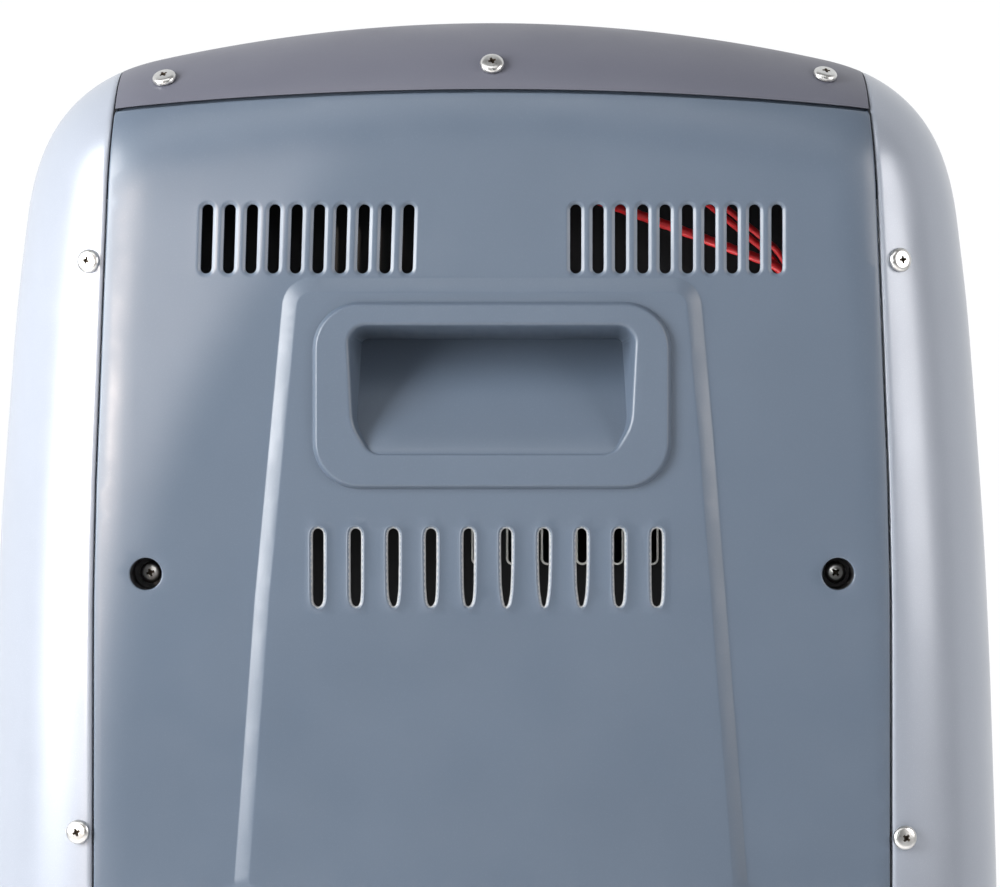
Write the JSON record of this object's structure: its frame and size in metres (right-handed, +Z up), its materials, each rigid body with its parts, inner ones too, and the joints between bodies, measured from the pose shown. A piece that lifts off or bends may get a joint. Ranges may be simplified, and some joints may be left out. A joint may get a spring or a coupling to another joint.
{
  "type": "outdoor heater",
  "caption": "Tall oil-fired infrared heater cabinet on casters, arched cap, vented back panel with a recessed grip, front guard over a radiant coil, tank in the base.",
  "frame": {"origin": "on the floor under the middle of the cabinet", "axes": "+Z up, -Y to the front (radiant side), +Y to the back (vented panel with the grip), +X to the heater's left as seen from behind"},
  "size_m": [0.49, 0.352, 1.05],
  "materials": {
    "panel": "fine moulded grain, semi-matte",
    "cap": "fine moulded grain, semi-matte",
    "pearl": "pearl powder coat, satin",
    "black_sheet": "black stove enamel, bare cut edges",
    "zinc": "bright zinc plate",
    "screw": "bright plated",
    "reflector": "polished",
    "ceramic_tube": "ceramic coated steel tube",
    "hot_steel": "heat-tinted steel",
    "tank": "satin enamel",
    "dark_plastic": "moulded",
    "window": "smoked, gloss",
    "board": "laminate",
    "brass": "turned",
    "red_wire": "sleeved wire",
    "rubber": "moulded",
    "pointer": "painted"
  },
  "bodies": {
    "cabinet": {"back_panel": "panel", "lower_back_panel": "panel", "top_cap": "cap", "left_side_panel": "pearl", "right_side_panel": "pearl", "front_lower_panel": "pearl", "control_panel": "dark_plastic", "display_window": "window", "control_board": "board", "exhaust_grille": "black_sheet", "front_guard": "black_sheet", "inner_rear_shield": "black_sheet", "base_plate": "black_sheet", "chassis_upright_left": "zinc", "chassis_upright_right": "zinc", "burner_shelf": "zinc", "reflector": "reflector", "radiant_coil": "ceramic_tube", "combustion_chamber": "hot_steel", "blower_housing": "dark_plastic", "burner_motor": "tank", "fuel_pump": "zinc", "fuel_filter": "dark_plastic", "fuel_line": "brass", "ignition_transformer": "dark_plastic", "fuel_tank": "tank", "fuel_gauge_body": "dark_plastic", "mains_cable_gland": "dark_plastic", "red_lead_main": "red_wire", "red_lead_second": "red_wire", "red_lead_third": "red_wire", "cap_screw_left": "screw", "cap_screw_centre": "screw", "cap_screw_right": "screw", "rail_screw_upper_left": "screw", "rail_screw_upper_right": "screw", "rail_screw_lower_left": "screw", "rail_screw_lower_right": "screw", "well_screw_left": "screw", "well_screw_right": "screw"},
    "blower_rotor": {"blower_wheel": "zinc"},
    "fuel_cap": {"fuel_cap": "dark_plastic"},
    "float_arm": {"fuel_float_arm": "brass"},
    "gauge_pointer": {"fuel_gauge_pointer": "pointer"},
    "button_power": {"button_power": "dark_plastic"},
    "button_timer": {"button_timer": "dark_plastic"},
    "button_down": {"button_down": "dark_plastic"},
    "button_up": {"button_up": "dark_plastic"},
    "caster_front_left": {"caster_fork_front_left": "zinc"},
    "wheel_front_left": {"caster_wheel_front_left": "rubber"},
    "caster_front_right": {"caster_fork_front_right": "zinc"},
    "wheel_front_right": {"caster_wheel_front_right": "rubber"},
    "caster_rear_left": {"caster_fork_rear_left": "zinc"},
    "wheel_rear_left": {"caster_wheel_rear_left": "rubber"},
    "caster_rear_right": {"caster_fork_rear_right": "zinc"},
    "wheel_rear_right": {"caster_wheel_rear_right": "rubber"},
    "brake_front_left": {"brake_pedal_front_left": "dark_plastic"},
    "brake_front_right": {"brake_pedal_front_right": "dark_plastic"}
  },
  "joints": [
    {"name": "fuel_cap_turn", "type": "hinge", "parent": "cabinet", "child": "fuel_cap", "pos_m": [-0.12, 0.1526, 0.334], "axis": [0, 0.866, 0.5], "range_deg": [0, 90]},
    {"name": "float_swing", "type": "hinge", "parent": "cabinet", "child": "float_arm", "pos_m": [-0.04, 0.106, 0.19], "axis": [0, 1, 0], "range_deg": [-32, 32]},
    {"name": "pointer_turn", "type": "hinge", "parent": "cabinet", "child": "gauge_pointer", "pos_m": [-0.04, 0.125, 0.313], "axis": [0, 1, 0], "range_deg": [-32, 32]},
    {"name": "blower_spin", "type": "hinge", "parent": "cabinet", "child": "blower_rotor", "pos_m": [0.081, -0.05, 0.4], "axis": [1, 0, 0], "continuous": true},
    {"name": "press_power", "type": "slide", "parent": "cabinet", "child": "button_power", "axis": [0, 1, 0], "range_m": [0, 0.0012], "stiffness_N_per_m": 300},
    {"name": "press_timer", "type": "slide", "parent": "cabinet", "child": "button_timer", "axis": [0, 1, 0], "range_m": [0, 0.0012], "stiffness_N_per_m": 300},
    {"name": "press_down", "type": "slide", "parent": "cabinet", "child": "button_down", "axis": [0, 1, 0], "range_m": [0, 0.0012], "stiffness_N_per_m": 300},
    {"name": "press_up", "type": "slide", "parent": "cabinet", "child": "button_up", "axis": [0, 1, 0], "range_m": [0, 0.0012], "stiffness_N_per_m": 300},
    {"name": "swivel_front_left", "type": "hinge", "parent": "cabinet", "child": "caster_front_left", "pos_m": [0.186, -0.126, 0.06], "axis": [0, 0, 1], "continuous": true},
    {"name": "roll_front_left", "type": "hinge", "parent": "caster_front_left", "child": "wheel_front_left", "pos_m": [0.186, -0.112, 0.025], "axis": [1, 0, 0], "continuous": true},
    {"name": "swivel_front_right", "type": "hinge", "parent": "cabinet", "child": "caster_front_right", "pos_m": [-0.186, -0.126, 0.06], "axis": [0, 0, 1], "continuous": true},
    {"name": "roll_front_right", "type": "hinge", "parent": "caster_front_right", "child": "wheel_front_right", "pos_m": [-0.186, -0.112, 0.025], "axis": [1, 0, 0], "continuous": true},
    {"name": "swivel_rear_left", "type": "hinge", "parent": "cabinet", "child": "caster_rear_left", "pos_m": [0.186, 0.126, 0.06], "axis": [0, 0, 1], "continuous": true},
    {"name": "roll_rear_left", "type": "hinge", "parent": "caster_rear_left", "child": "wheel_rear_left", "pos_m": [0.186, 0.14, 0.025], "axis": [1, 0, 0], "continuous": true},
    {"name": "swivel_rear_right", "type": "hinge", "parent": "cabinet", "child": "caster_rear_right", "pos_m": [-0.186, 0.126, 0.06], "axis": [0, 0, 1], "continuous": true},
    {"name": "roll_rear_right", "type": "hinge", "parent": "caster_rear_right", "child": "wheel_rear_right", "pos_m": [-0.186, 0.14, 0.025], "axis": [1, 0, 0], "continuous": true},
    {"name": "brake_front_left", "type": "hinge", "parent": "caster_front_left", "child": "brake_front_left", "pos_m": [0.186, -0.1416, 0.054], "axis": [1, 0, 0], "range_deg": [0, 10]},
    {"name": "brake_front_right", "type": "hinge", "parent": "caster_front_right", "child": "brake_front_right", "pos_m": [-0.186, -0.1416, 0.054], "axis": [1, 0, 0], "range_deg": [0, 10]}
  ],
  "couplings": [
    {"joint": "pointer_turn", "follows": "float_swing", "ratio": -1}
  ]
}
